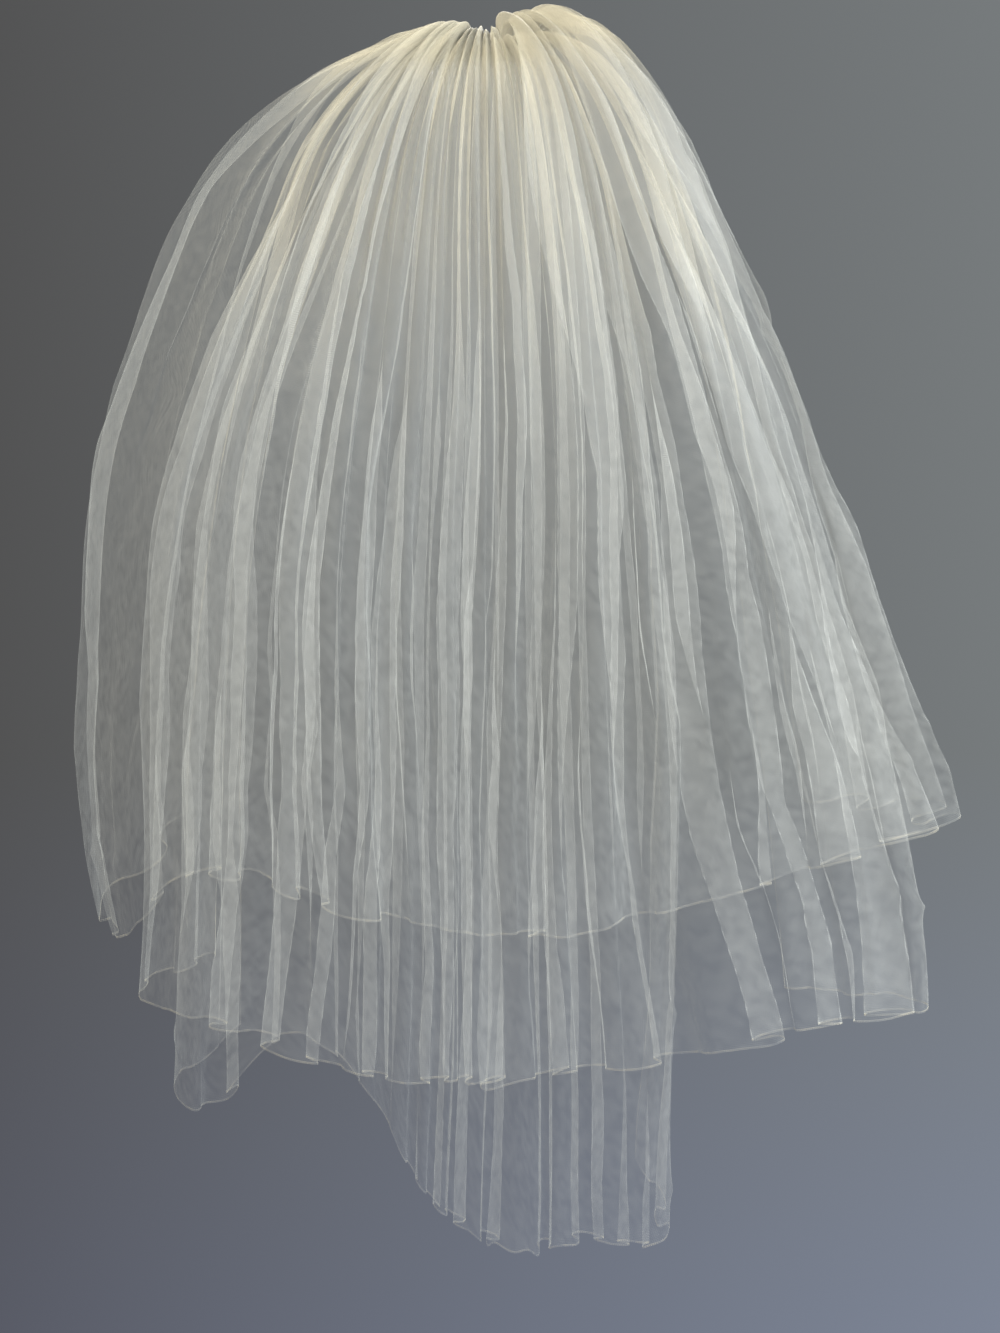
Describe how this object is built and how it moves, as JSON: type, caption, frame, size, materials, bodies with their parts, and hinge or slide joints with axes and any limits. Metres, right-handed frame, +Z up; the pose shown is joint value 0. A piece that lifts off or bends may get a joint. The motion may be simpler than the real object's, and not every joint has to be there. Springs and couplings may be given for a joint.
{
  "type": "bridal veil",
  "caption": "Ivory bridal veil of plain net in short, middle and long gathered tiers on a hair comb, in the open hollow shape it takes when worn.",
  "frame": {"origin": "middle of the comb's spine, where the comb sits on the crown of the head", "axes": "+Z up when worn, +Y where the wearer faces, +X to the wearer's right"},
  "size_m": [0.6691, 0.3034, 0.9308],
  "materials": {
    "ivory_net": "crisp sheer ivory net with a faint sheen and raw cut edges",
    "ivory_binding": "smooth satin binding folded over the gathers",
    "clear_comb": "clear moulded plastic, polished"
  },
  "bodies": {
    "root": {"comb": "clear_comb", "heading_band": "ivory_binding", "tier_short": "ivory_net", "tier_middle": "ivory_net", "tier_long": "ivory_net"}
  },
  "joints": []
}
